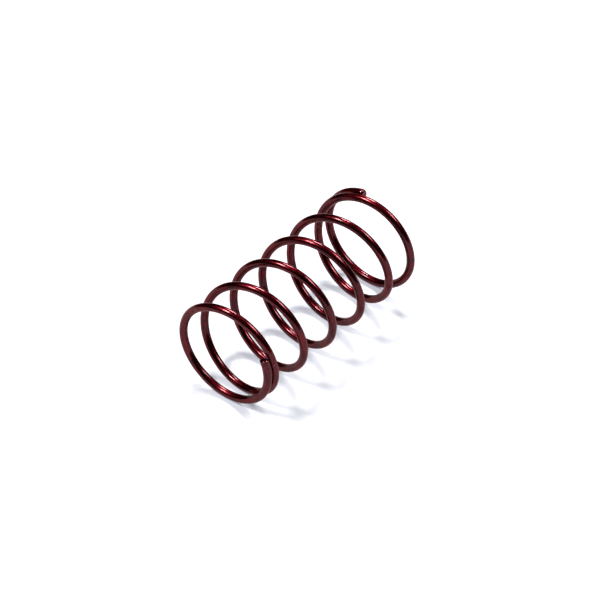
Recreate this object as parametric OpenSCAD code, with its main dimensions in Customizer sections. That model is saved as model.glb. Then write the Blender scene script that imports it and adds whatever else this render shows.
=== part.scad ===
// Helical compression spring, wound right-handed from one length of round wire.
// Its axis lies along X, and its fixed end seats on the plane X = 0. Both end turns are
// closed against their neighbours and left unground, and each ends in a square cut.
// The wire is divided along its length, on planes through the axis. The lengths slide
// a little along X past one another, so that the turns can close up.

/* [Wire] */
// Diameter of the wire
wire_d = 1.6; // [1:0.1:1.6]
// Flat sides round the wire
wire_sides = 12; // [8:4:16]
// Steps along each quarter turn, an odd number so that a flat faces straight down
quarter_steps = 9; // [5:2:11]

/* [Coil] */
// Outside diameter of the coil
outer_d = 22; // [20:0.5:30]
// Rise of one open turn along the axis
pitch = 8.75; // [8.5:0.05:12]
// Quarter turns that move one by one between the two ends
coil_quarters = 16; // [8:4:20]

/* [Fixed end] */
// Arc of wire from the cut tip to the first division, in degrees
fixed_tip_arc = 68; // [60:1:75]
// Turns from the cut tip to where the wire starts to open
fixed_open_from = 0.46; // [0.4:0.01:0.47]
// Turns from the cut tip to where it has its full rise
fixed_open_to = 1.13; // [1.05:0.01:1.14]
// How far the end turn leans out of square
fixed_lean = 0.7; // [0:0.1:0.8]
// Turns from the cut tip to where the leaning turn stands furthest in
fixed_lean_at = 0.37; // [0.3:0.01:0.5]

/* [Moving end] */
// Arc of wire from the last division to the cut tip, in degrees
moving_tip_arc = 126; // [115:1:130]
// Turns from the cut tip to where the wire starts to open
moving_open_from = 0.19; // [0.1:0.01:0.2]
// Turns from the cut tip to where it has its full rise
moving_open_to = 1.54; // [1.4:0.01:1.55]

/* [Hidden] */
// Angle of the first division, from +Y towards +Z. A division every 90 degrees from
// there leaves the middle of one length at the bottom of each turn.
first_division = 225;
// Quarter turns that keep together next to each tip
fixed_quarters = 5;
moving_quarters = 4;
quarter_count = fixed_quarters + coil_quarters + moving_quarters;
tip_angle = first_division - fixed_tip_arc;
divisions = concat(
    [tip_angle],
    [for (i = [0 : quarter_count]) first_division + 90 * i],
    [first_division + 90 * quarter_count + moving_tip_arc]
);
total_turns = (divisions[quarter_count + 2] - tip_angle) / 360;
wire_r = wire_d / 2;
coil_r = (outer_d - wire_d) / 2;
ring_step = 90 / quarter_steps;

function two_digits(i) = str(i < 10 ? "0" : "", i);

NODES = concat(
    ["fixed_end_tip"],
    [for (i = [1 : fixed_quarters]) str("fixed_end_quarter_", i)],
    [for (i = [1 : coil_quarters]) str("coil_quarter_", two_digits(i))],
    [for (i = [1 : moving_quarters]) str("moving_end_quarter_", i)],
    ["moving_end_tip"]
);

// How far the wire is into its opening, from 0 to 1
function opened(turns, from, to) = min(max((turns - from) / (to - from), 0), 1);

// Height gained since the cut tip: the slope grows smoothly from 0 to the full pitch
function tip_height(turns, from, to) =
    let (s = opened(turns, from, to))
    pitch * ((to - from) * (pow(s, 3) - pow(s, 4) / 2) + max(turns - to, 0));

// The end turn's lean out of square, which fades out as the wire opens
function lean(turns) =
    let (s = opened(turns, 0, 1.25))
    fixed_lean * (cos(360 * (turns - fixed_lean_at)) - cos(360 * fixed_lean_at))
    * (1 - 3 * s * s + 2 * s * s * s);

function fixed_height(turns) =
    tip_height(turns, fixed_open_from, fixed_open_to) + lean(turns);

function moving_height(turns) = tip_height(turns, moving_open_from, moving_open_to);

middle_turn = total_turns / 2;
centre_length = fixed_height(middle_turn) + moving_height(middle_turn);

// Position of the wire's centre along the axis
function wire_x(angle) =
    let (turns = (angle - tip_angle) / 360)
    wire_r + (turns < middle_turn
        ? fixed_height(turns)
        : centre_length - moving_height(total_turns - turns));

// A section across a sloping wire on a plane through the axis is longer by this factor
function slope_stretch(angle) =
    let (rise = (wire_x(angle + 1) - wire_x(angle - 1)) * 90 / (PI * coil_r))
    sqrt(1 + rise * rise);

function ring(angle) =
    let (x = wire_x(angle), stretch = slope_stretch(angle))
    [for (i = [0 : wire_sides - 1])
        let (around = 360 * i / wire_sides, r = coil_r + wire_r * cos(around))
        [x + stretch * wire_r * sin(around), r * cos(angle), r * sin(angle)]];

// Ring angles of one length: its two ends, and every step of the whole coil between them
function ring_angles(from, to) =
    let (
        first = ceil((from - first_division) / ring_step + 0.01),
        last = floor((to - first_division) / ring_step - 0.01)
    )
    concat([from], [for (i = [first : last]) first_division + i * ring_step], [to]);

// One length of the wire, closed by a flat face at each end
module wire_length(from, to) {
    angles = ring_angles(from, to);
    last_ring = (len(angles) - 1) * wire_sides;
    points = [for (a = angles) each ring(a)];
    sides = [
        for (start = [0 : wire_sides : last_ring - 1], i = [0 : wire_sides - 1])
        let (a = start + i, b = start + (i + 1) % wire_sides)
        each [[a, b, a + wire_sides], [b, b + wire_sides, a + wire_sides]]
    ];
    near_face = [for (i = [wire_sides - 1 : -1 : 0]) i];
    far_face = [for (i = [0 : wire_sides - 1]) last_ring + i];
    polyhedron(points, concat(sides, [near_face, far_face]));
}

module wire(i) {
    color("#6b1c24")
    wire_length(divisions[i], divisions[i + 1]);
}

for (i = [0 : len(NODES) - 1])
    wire(i);
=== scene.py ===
import math

import bpy
import numpy as np
from mathutils import Matrix, Vector


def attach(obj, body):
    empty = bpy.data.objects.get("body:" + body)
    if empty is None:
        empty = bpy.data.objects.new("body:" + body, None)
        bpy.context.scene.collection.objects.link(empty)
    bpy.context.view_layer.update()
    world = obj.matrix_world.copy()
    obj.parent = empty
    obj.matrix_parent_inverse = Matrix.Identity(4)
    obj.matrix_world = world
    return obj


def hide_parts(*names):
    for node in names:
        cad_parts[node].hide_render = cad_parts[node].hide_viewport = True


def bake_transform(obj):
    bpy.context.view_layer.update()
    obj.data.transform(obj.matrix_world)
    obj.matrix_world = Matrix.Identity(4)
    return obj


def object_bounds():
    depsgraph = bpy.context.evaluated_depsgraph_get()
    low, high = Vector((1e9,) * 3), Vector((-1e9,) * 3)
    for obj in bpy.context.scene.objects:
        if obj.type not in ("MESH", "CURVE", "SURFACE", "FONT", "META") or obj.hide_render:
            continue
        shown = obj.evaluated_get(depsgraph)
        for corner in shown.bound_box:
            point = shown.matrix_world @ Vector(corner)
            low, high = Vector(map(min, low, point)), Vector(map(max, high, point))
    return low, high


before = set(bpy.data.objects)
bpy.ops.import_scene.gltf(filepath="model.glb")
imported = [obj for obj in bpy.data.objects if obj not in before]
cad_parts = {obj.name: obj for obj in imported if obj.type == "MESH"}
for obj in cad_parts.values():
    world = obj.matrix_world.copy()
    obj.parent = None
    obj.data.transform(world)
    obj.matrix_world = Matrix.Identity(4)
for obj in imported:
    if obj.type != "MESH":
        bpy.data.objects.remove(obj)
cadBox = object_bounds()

mm = 0.001

# The coil as it was wound: angles in degrees about +X, from +Y towards +Z
coil = {
    "wireRadius": 0.8 * mm,
    "coilRadius": 10.2 * mm,  # from the axis to the middle of the wire
    "pitch": 8.75 * mm,
    "firstDivision": 225,
    "fixedTipArc": 68,
    "movingTipArc": 126,
    "fixedQuarters": 5,
    "coilQuarters": 16,
    "movingQuarters": 4,
    "fixedOpens": (0.46, 1.13),  # turns from the cut tip to the first rise and to the full pitch
    "movingOpens": (0.19, 1.54),
    "fixedLean": 0.7 * mm,  # how far the fixed end's turn leans out of square
    "fixedLeanAt": 0.37,  # turns from the cut tip to where it stands furthest in
    "leanFades": 1.25,  # turns from the cut tip to where nothing is left of it
    "slopeStep": 1,  # degrees to each side over which the slope is taken
}
coil["start"] = coil["firstDivision"] - coil["fixedTipArc"]
coil["firstJoint"] = coil["firstDivision"] + 90 * coil["fixedQuarters"]
coil["lastJoint"] = coil["firstJoint"] + 90 * coil["coilQuarters"]
coil["lastDivision"] = coil["lastJoint"] + 90 * coil["movingQuarters"]
coil["end"] = coil["lastDivision"] + coil["movingTipArc"]
coil["turns"] = (coil["end"] - coil["start"]) / 360


def smooth(x):
    # a smooth step from 0 to 1: three times the square less twice the cube
    x = np.clip(x, 0, 1)
    return x * x * (3 - 2 * x)


def tipHeight(turns, opens):
    # the slope grows as that smooth step from nothing to the full pitch, and the height is the
    # slope summed from the tip: the cube less half the fourth power, and a straight line after it
    start, stop = opens
    s = np.clip((turns - start) / (stop - start), 0, 1)
    return coil["pitch"] * ((stop - start) * (s**3 - s**4 / 2) + np.maximum(turns - stop, 0))


def lean(turns):
    # a cosine once round, which is nothing at the tip and fades as the wire opens
    tau = 2 * math.pi
    wave = np.cos(tau * (turns - coil["fixedLeanAt"])) - math.cos(tau * coil["fixedLeanAt"])
    return coil["fixedLean"] * wave * (1 - smooth(turns / coil["leanFades"]))


def fixedHeight(turns):
    return tipHeight(turns, coil["fixedOpens"]) + lean(turns)


def wireX(angle):
    # height from the fixed tip up to the middle, and down from the moving tip after it
    turns = (angle - coil["start"]) / 360
    middle = coil["turns"] / 2
    whole = fixedHeight(middle) + tipHeight(middle, coil["movingOpens"])
    far = whole - tipHeight(coil["turns"] - turns, coil["movingOpens"])
    return coil["wireRadius"] + np.where(turns < middle, fixedHeight(turns), far)


camera = {
    "aside": 52.2,  # degrees that the view is turned from the coil's axis
    "above": 39.8,
    "roll": -0.75,
    "distance": 0.802,  # metres from the middle of the coil
    "lens": 253,
    "right": 0.29 * mm,  # how far off the middle it looks
    "up": -0.86 * mm,
    "nearest": 10 * mm,
    "farthest": 20,
}


def placeCamera():
    low, high = (Vector(corner) for corner in cadBox)
    aside, above, roll = (math.radians(camera[k]) for k in ("aside", "above", "roll"))
    across = Vector((math.cos(aside), -math.sin(aside), 0))
    level = Vector((math.sin(aside), math.cos(aside), 0))
    forward = level * math.cos(above) - Vector((0, 0, math.sin(above)))
    up = across.cross(forward)
    place = (low + high) / 2 - forward * camera["distance"]
    place += across * camera["right"] + up * camera["up"]
    right = across * math.cos(roll) - up * math.sin(roll)
    up = across * math.sin(roll) + up * math.cos(roll)
    data = bpy.data.cameras.new("camera")
    data.lens = camera["lens"]
    data.clip_start = camera["nearest"]
    data.clip_end = camera["farthest"]
    holder = bpy.data.objects.new("camera", data)
    turn = Matrix((right, up, -forward)).transposed().to_4x4()
    holder.matrix_world = Matrix.Translation(place) @ turn
    bpy.context.scene.collection.objects.link(holder)
    bpy.context.scene.camera = holder


placeCamera()
print("camera placed")


def colour(hexCode):
    # an sRGB hex value as linear red, green, blue and full alpha
    parts = [int(hexCode[i : i + 2], 16) / 255 for i in (0, 2, 4)]
    return [c / 12.92 if c <= 0.04045 else ((c + 0.055) / 1.055) ** 2.4 for c in parts] + [1]


def addNode(tree, kind, settings=None, links=None):
    # one node: settings go to its properties or sockets, links to its sockets
    node = tree.nodes.new(kind)
    for key, value in (settings or {}).items():
        if isinstance(key, int) or key in node.inputs:
            node.inputs[key].default_value = value
        else:
            setattr(node, key, value)
    for key, source in (links or {}).items():
        tree.links.new(source, node.inputs[key])
    return node


def newMaterial(name):
    material = bpy.data.materials.new(name)
    material.use_nodes = True
    tree = material.node_tree
    tree.nodes.clear()
    return material, tree


lacquer = {
    "thick": "2e060a",
    "thin": "550f16",  # steel shines through
    "bare": "a07c80",  # thinnest on cut ends and on rubbed specks
    "thickUpTo": 0.45,  # of the mixed pattern, which runs from 0 to 1
    "thinFrom": 0.55,
    # noise patterns: one over a real size, how many finer layers it holds, and how strong they are
    "patches": {"Scale": 1 / (3.0 * mm), "Detail": 7.0, "Roughness": 0.72},
    "lines": {"Scale": 1.0, "Detail": 3.0, "Roughness": 0.55},  # their length and width come below
    "grain": {"Scale": 1 / (0.4 * mm), "Detail": 2.0, "Roughness": 0.6},
    "lineLength": 5.0 * mm,
    "lineWidth": 0.12 * mm,  # real drawing lines are finer, and these are as fine as can show
    "lineShare": 0.4,  # of the mixed pattern, and the patches have the rest
    "grainShare": 0.28,
    "relief": 0.01 * mm,  # how deep that pattern is
    "speckSpacing": 2.2 * mm,
    "speckSize": 0.14 * mm,
    "speckMiddle": 0.3,  # how much of its reach is rubbed as far as it goes
    "speckBare": 0.8,
    # from a thick place to a thin one, where the drawn steel comes through
    "roughness": {"From Min": 0.3, "From Max": 0.7, "To Min": 0.22, "To Max": 0.37},
    "slanted": "cc525c",  # at a glancing angle the steel's white comes back through more red
    "clearIor": 1.45,
    "clearWeight": 0.35,
    "clearRoughness": 0.08,
}


def lacquerPattern(tree, place):
    # thin and thick patches, the lines that drawing left along the wire, and a fine mottle
    patches = addNode(tree, "ShaderNodeTexNoise", lacquer["patches"], {"Vector": place})
    across = 1 / lacquer["lineWidth"]
    stretch = (1 / lacquer["lineLength"], across, across)
    drawn = addNode(tree, "ShaderNodeMapping", {"Scale": stretch}, {"Vector": place})
    lines = addNode(tree, "ShaderNodeTexNoise", lacquer["lines"], {"Vector": drawn.outputs["Vector"]})
    both = addNode(
        tree,
        "ShaderNodeMix",
        {"data_type": "FLOAT", "Factor": lacquer["lineShare"]},
        {"A": patches.outputs["Fac"], "B": lines.outputs["Fac"]},
    )
    grain = addNode(tree, "ShaderNodeTexNoise", lacquer["grain"], {"Vector": place})
    mottle = addNode(
        tree,
        "ShaderNodeMix",
        {"data_type": "FLOAT", "Factor": lacquer["grainShare"]},
        {"A": both.outputs["Result"], "B": grain.outputs["Fac"]},
    )
    return mottle.outputs["Result"]


def rubbedSpecks(tree, place):
    # small spots, one in each cell, that fade from their middle out
    near = addNode(
        tree, "ShaderNodeTexVoronoi", {"Scale": 1 / lacquer["speckSpacing"]}, {"Vector": place}
    )
    reach = lacquer["speckSize"] / lacquer["speckSpacing"]
    speck = addNode(
        tree,
        "ShaderNodeMapRange",
        {
            "From Min": reach,
            "From Max": lacquer["speckMiddle"] * reach,
            "To Min": 0.0,
            "To Max": lacquer["speckBare"],
        },
        {"Value": near.outputs["Distance"]},
    )
    return speck.outputs["Result"]


def redLacquer():
    # drawn spring steel under clear red lacquer: bright lines lie under a smooth gloss skin
    material, tree = newMaterial("red_lacquer_on_drawn_steel")
    straight = addNode(tree, "ShaderNodeAttribute", {"attribute_name": "straightWire"})
    cut = addNode(tree, "ShaderNodeAttribute", {"attribute_name": "cutFace"})
    place = straight.outputs["Vector"]
    mottle = lacquerPattern(tree, place)
    tone = addNode(tree, "ShaderNodeValToRGB", None, {"Fac": mottle})
    thick, thin = tone.color_ramp.elements
    thick.position = lacquer["thickUpTo"]
    thick.color = colour(lacquer["thick"])
    thin.position = lacquer["thinFrom"]
    thin.color = colour(lacquer["thin"])
    bare = addNode(
        tree,
        "ShaderNodeMath",
        {"operation": "MAXIMUM"},
        {0: rubbedSpecks(tree, place), 1: cut.outputs["Fac"]},
    )
    # a colour Mix has its own sockets: 6 and 7 are its two colours, and output 2 is its result
    shade = addNode(
        tree,
        "ShaderNodeMix",
        {"data_type": "RGBA", 7: colour(lacquer["bare"])},
        {0: bare.outputs["Value"], 6: tone.outputs["Color"]},
    )
    rough = addNode(tree, "ShaderNodeMapRange", lacquer["roughness"], {"Value": mottle})
    relief = addNode(
        tree, "ShaderNodeBump", {"Strength": 1.0, "Distance": lacquer["relief"]}, {"Height": mottle}
    )
    shader = addNode(
        tree,
        "ShaderNodeBsdfPrincipled",
        {
            "Metallic": 1.0,
            "Specular Tint": colour(lacquer["slanted"]),
            "Coat Weight": lacquer["clearWeight"],
            "Coat Roughness": lacquer["clearRoughness"],
            "Coat IOR": lacquer["clearIor"],
        },
        {
            "Base Color": shade.outputs[2],
            "Roughness": rough.outputs["Result"],
            "Normal": relief.outputs["Normal"],
        },
    )
    addNode(tree, "ShaderNodeOutputMaterial", None, {"Surface": shader.outputs["BSDF"]})
    return material


lacquered = redLacquer()
print("lacquer mixed")


def slopeAt(angle):
    # rise along the axis for each unit of way round
    step = coil["slopeStep"]
    way = math.radians(2 * step) * coil["coilRadius"]
    return (wireX(angle + step) - wireX(angle - step)) / way


def wirePoints(angle, around, radius):
    # the wire's skin: out from the coil's axis by cos and along it by sin of the angle around,
    # on a plane through the axis, where a sloping wire's section is longer
    turned, rolled = np.radians(angle), np.radians(around)
    out = coil["coilRadius"] + radius * np.cos(rolled)
    x = wireX(angle) + np.sqrt(1 + slopeAt(angle) ** 2) * radius * np.sin(rolled)
    return np.stack([x, out * np.cos(turned), out * np.sin(turned)], -1)


def wireWay(angle):
    # the direction in which the wire runs: its slope along the axis, and round it square to out
    turned = np.radians(angle)
    way = np.stack([slopeAt(angle), -np.sin(turned), np.cos(turned)], -1)
    return way / np.linalg.norm(way, axis=-1, keepdims=True)


def wireOutward(angle, around):
    # square to the wire's way: cos of outwards from the axis and sin of sideways along it
    turned, rolled = np.radians(angle), np.radians(around)[..., None]
    outward = np.stack([0 * turned, np.cos(turned), np.sin(turned)], -1)
    sideways = np.cross(outward, wireWay(angle))
    return outward * np.cos(rolled) + sideways * np.sin(rolled)


wire = {
    "ringStep": 1.5,  # degrees of coil between rings
    "sides": 48,
    "cutEdges": 8,  # rings over the rounded edge of a cut end
    "cutFaces": 5,  # rings from that edge to the middle of the face
    "cutBare": 0.15,  # how far the steel shows through the lacquer on a cut face
    "cutBareFades": 4,  # how fast that fades over the edge, as a power
    # cut ends: degrees out of square, and the rounding of the edge, with more of it on the outer
    # side, where the cutter went in
    "fixedCut": {"slant": 10, "rounding": 0.1 * mm, "rollover": 0.16 * mm},
    "movingCut": {"slant": 6, "rounding": 0.12 * mm, "rollover": 0.52 * mm},
    "halfBend": 45,  # degrees of wire to each side of a joint that one bent piece takes in
}


def ringSides():
    return np.arange(wire["sides"]) * 360 / wire["sides"]


def plainRings(start, stop):
    # full rings from one angle to another: angle, around, radius, tilt towards the end, cut face
    count = max(round((stop - start) / wire["ringStep"]), 1)
    angle, around = np.meshgrid(np.linspace(start, stop, count + 1), ringSides(), indexing="ij")
    full = np.full_like(angle, coil["wireRadius"])
    return np.stack([angle, around, full, 0 * full, 0 * full])


def cutRings(tip, onward, cut):
    # a sheared end: a rounded edge in quarter circle steps, then flat rings in to the middle.
    # onward is 1 where the wire ends at its highest angle, and -1 where it starts
    around = ringSides()
    outer = np.cos(np.radians(around))
    edge = cut["rounding"] + cut["rollover"] * (1 + outer) / 2
    quarter = np.radians(np.linspace(0, 90, wire["cutEdges"] + 1)[1:])[:, None]
    inward = edge * (1 - np.cos(quarter))
    back = edge * (1 - np.sin(quarter))
    radius = coil["wireRadius"] - inward
    flat = np.linspace(1, 0, wire["cutFaces"] + 1)[1:-1, None] * radius[-1:]
    radius = np.concatenate([radius, flat])
    back = np.concatenate([back, 0 * flat])
    tilt = np.concatenate([quarter + 0 * edge, 0 * flat + math.pi / 2])
    back = back + math.tan(math.radians(cut["slant"])) * (coil["wireRadius"] + radius * outer)
    angle = tip - onward * np.degrees(back / coil["coilRadius"])
    face = wire["cutBare"] * np.sin(tilt) ** wire["cutBareFades"]
    rings = np.stack([angle, around + 0 * angle, radius, onward * tilt, face])
    return rings if onward > 0 else rings[:, ::-1]


def cutRoom(cut):
    # degrees of coil that a cut end takes up
    slanted = 2 * coil["wireRadius"] * math.tan(math.radians(cut["slant"]))
    return math.degrees((cut["rounding"] + cut["rollover"] + slanted) / coil["coilRadius"])


def pieceRings(start, stop, startCut, stopCut):
    # a length of wire ends in a plain section where it is given no cut
    if startCut:
        plain = plainRings(start + cutRoom(startCut), stop)
        return np.concatenate([cutRings(start, -1, startCut), plain], 1)
    if stopCut:
        plain = plainRings(start, stop - cutRoom(stopCut))
        return np.concatenate([plain, cutRings(stop, 1, stopCut)], 1)
    return plainRings(start, stop)


def skinFaces(rows, sides):
    # four-sided faces from ring to ring, and at each end a fan round the point at its middle
    here = np.arange(sides)
    ahead = (here + 1) % sides
    ring = np.arange(rows - 1)[:, None] * sides
    quads = np.stack([ring + here, ring + sides + here, ring + sides + ahead, ring + ahead], -1)
    pole = rows * sides
    last = pole - sides
    startFan = np.stack([here, ahead, 0 * here + pole], -1)
    stopFan = np.stack([last + ahead, last + here, 0 * here + pole + 1], -1)
    return quads.reshape(-1, 4), startFan, stopFan


def addWirePlaces(mesh, rings):
    # for patterns that follow the wire: the same place on the straight wire, and where it is cut
    angle, around, radius, tilt, face = rings
    along = np.radians(angle) * coil["coilRadius"]
    rolled = np.radians(around)
    straight = np.stack([along, radius * np.cos(rolled), radius * np.sin(rolled)], -1).reshape(-1, 3)
    middles = np.array([[along[0].mean(), 0, 0], [along[-1].mean(), 0, 0]])
    place = mesh.attributes.new("straightWire", "FLOAT_VECTOR", "POINT")
    place.data.foreach_set("vector", np.concatenate([straight, middles]).ravel())
    bare = mesh.attributes.new("cutFace", "FLOAT", "POINT")
    bare.data.foreach_set("value", np.concatenate([face.ravel(), [face[0].max(), face[-1].max()]]))


def wirePiece(name, start, stop, startCut=None, stopCut=None):
    # one length of wire: its rings, a middle point at each end, and normals from the formula
    rings = pieceRings(start, stop, startCut, stopCut)
    angle, around, radius, tilt, face = rings
    rows, sides = angle.shape
    points = wirePoints(angle, around, radius).reshape(-1, 3)
    middles = [points[:sides].mean(0), points[-sides:].mean(0)]
    quads, startFan, stopFan = skinFaces(rows, sides)
    faces = quads.tolist() + startFan.tolist() + stopFan.tolist()
    mesh = bpy.data.meshes.new(name)
    mesh.from_pydata(np.concatenate([points, middles]).tolist(), [], faces)
    mesh.polygons.foreach_set("use_smooth", [True] * len(mesh.polygons))
    way = wireWay(angle)
    outward = wireOutward(angle, around)
    normals = outward * np.cos(tilt)[..., None] + way * np.sin(tilt)[..., None]
    startNormals = np.repeat([-way[0, 0]], 3 * sides, 0)
    stopNormals = np.repeat([way[-1, 0]], 3 * sides, 0)
    sideNormals = normals.reshape(-1, 3)[quads.ravel()]
    mesh.normals_split_custom_set(np.concatenate([sideNormals, startNormals, stopNormals]).tolist())
    addWirePlaces(mesh, rings)
    mesh.materials.append(lacquered)
    piece = bpy.data.objects.new(name, mesh)
    bpy.context.scene.collection.objects.link(piece)
    return piece


def windFixedEnd():
    tip = wirePiece("wire_fixed_tip", coil["start"], coil["firstDivision"], startCut=wire["fixedCut"])
    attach(tip, "fixed_end")
    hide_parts("fixed_end_tip")
    turn = wirePiece("wire_fixed_turn", coil["firstDivision"], coil["firstJoint"] - wire["halfBend"])
    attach(turn, "fixed_end")
    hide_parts(*[f"fixed_end_quarter_{i}" for i in range(1, coil["fixedQuarters"] + 1)])


def windOpenTurns():
    # each piece runs across one joint, from the body before it to the body after it
    bodies = ["fixed_end"]
    bodies += [f"coil_quarter_{i:02d}" for i in range(1, coil["coilQuarters"] + 1)]
    bodies += ["moving_end"]
    half = wire["halfBend"]
    for i, (before, after) in enumerate(zip(bodies, bodies[1:])):
        joint = coil["firstJoint"] + 90 * i
        piece = wirePiece(f"wire_coil_{i + 1:02d}", joint - half, joint + half)
        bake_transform(piece)
        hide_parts(after if i < coil["coilQuarters"] else "moving_end_quarter_1")


def windMovingEnd():
    turn = wirePiece("wire_moving_turn", coil["lastJoint"] + wire["halfBend"], coil["lastDivision"])
    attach(turn, "moving_end")
    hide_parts(*[f"moving_end_quarter_{i}" for i in range(2, coil["movingQuarters"] + 1)])
    tip = wirePiece("wire_moving_tip", coil["lastDivision"], coil["end"], stopCut=wire["movingCut"])
    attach(tip, "moving_end")
    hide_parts("moving_end_tip")


windFixedEnd()
windOpenTurns()
windMovingEnd()
print("wire wound")

paper = {
    "halfWidth": 1.2,  # metres, so that its edge is out of sight in low views
    "colour": "aeaeb0",
    "roughness": 0.9,
    "glow": "e8edff",  # it gives off a little light, which keeps it white and its shadows faint
    "glowStrength": 0.33,
}


def placeFloor():
    # matt white paper, which the lowest turns just touch
    wide = paper["halfWidth"]
    bottom = -(coil["coilRadius"] + coil["wireRadius"])
    corners = [(-wide, -wide, bottom), (wide, -wide, bottom), (wide, wide, bottom), (-wide, wide, bottom)]
    mesh = bpy.data.meshes.new("floor")
    mesh.from_pydata(corners, [], [(0, 1, 2, 3)])
    material, tree = newMaterial("white_paper")
    shader = addNode(
        tree,
        "ShaderNodeBsdfPrincipled",
        {
            "Base Color": colour(paper["colour"]),
            "Roughness": paper["roughness"],
            "Specular IOR Level": 0.0,
            "Emission Color": colour(paper["glow"]),
            "Emission Strength": paper["glowStrength"],
        },
    )
    addNode(tree, "ShaderNodeOutputMaterial", None, {"Surface": shader.outputs["BSDF"]})
    mesh.materials.append(material)
    floor = bpy.data.objects.new("floor", mesh)
    bpy.context.scene.collection.objects.link(floor)


studio = {
    # soft boxes: azimuth from +X and height in degrees, brightness, width and height in degrees
    "softBoxes": {
        "left": (139, 57, 92.0, 14, 10),
        "back": (29, 50, 92.0, 14, 10),
        "right": (-45, 50, 29.0, 25, 14),
    },
    "away": 1.6,  # metres
    "room": "ffffff",
    "roomStrength": 0.01,  # the room is dark apart from its soft boxes
    "backdrop": "f4f4f6",  # beyond the floor's edge
    "backdropStrength": 1.0,
}


def placeRoom():
    # the backdrop is only seen and lights nothing
    world = bpy.data.worlds.new("studio")
    world.use_nodes = True
    tree = world.node_tree
    tree.nodes.clear()
    seen = addNode(tree, "ShaderNodeLightPath").outputs["Is Camera Ray"]
    room = addNode(
        tree,
        "ShaderNodeBackground",
        {"Color": colour(studio["room"]), "Strength": studio["roomStrength"]},
    )
    backdrop = addNode(
        tree,
        "ShaderNodeBackground",
        {"Color": colour(studio["backdrop"]), "Strength": studio["backdropStrength"]},
    )
    both = addNode(
        tree,
        "ShaderNodeMixShader",
        None,
        {0: seen, 1: room.outputs["Background"], 2: backdrop.outputs["Background"]},
    )
    addNode(tree, "ShaderNodeOutputWorld", None, {"Surface": both.outputs["Shader"]})
    bpy.context.scene.world = world


def placeSoftBoxes():
    # each faces the middle of the coil, and its power grows with its area, so that a larger
    # box is as bright to look at as a smaller one
    low, high = (Vector(corner) for corner in cadBox)
    for name, (azimuth, height, bright, wide, tall) in studio["softBoxes"].items():
        azimuth, height = math.radians(azimuth), math.radians(height)
        level = Vector((math.cos(azimuth), math.sin(azimuth), 0))
        way = level * math.cos(height) + Vector((0, 0, math.sin(height)))
        data = bpy.data.lights.new(name, "AREA")
        data.shape = "RECTANGLE"
        data.size = 2 * studio["away"] * math.tan(math.radians(wide / 2))
        data.size_y = 2 * studio["away"] * math.tan(math.radians(tall / 2))
        data.energy = bright * math.pi * data.size * data.size_y
        holder = bpy.data.objects.new(name, data)
        holder.location = (low + high) / 2 + way * studio["away"]
        holder.rotation_euler = way.to_track_quat("Z", "Y").to_euler()
        bpy.context.scene.collection.objects.link(holder)


placeFloor()
placeRoom()
placeSoftBoxes()
bpy.context.scene.view_settings.view_transform = "Standard"
print("floor and lights placed")
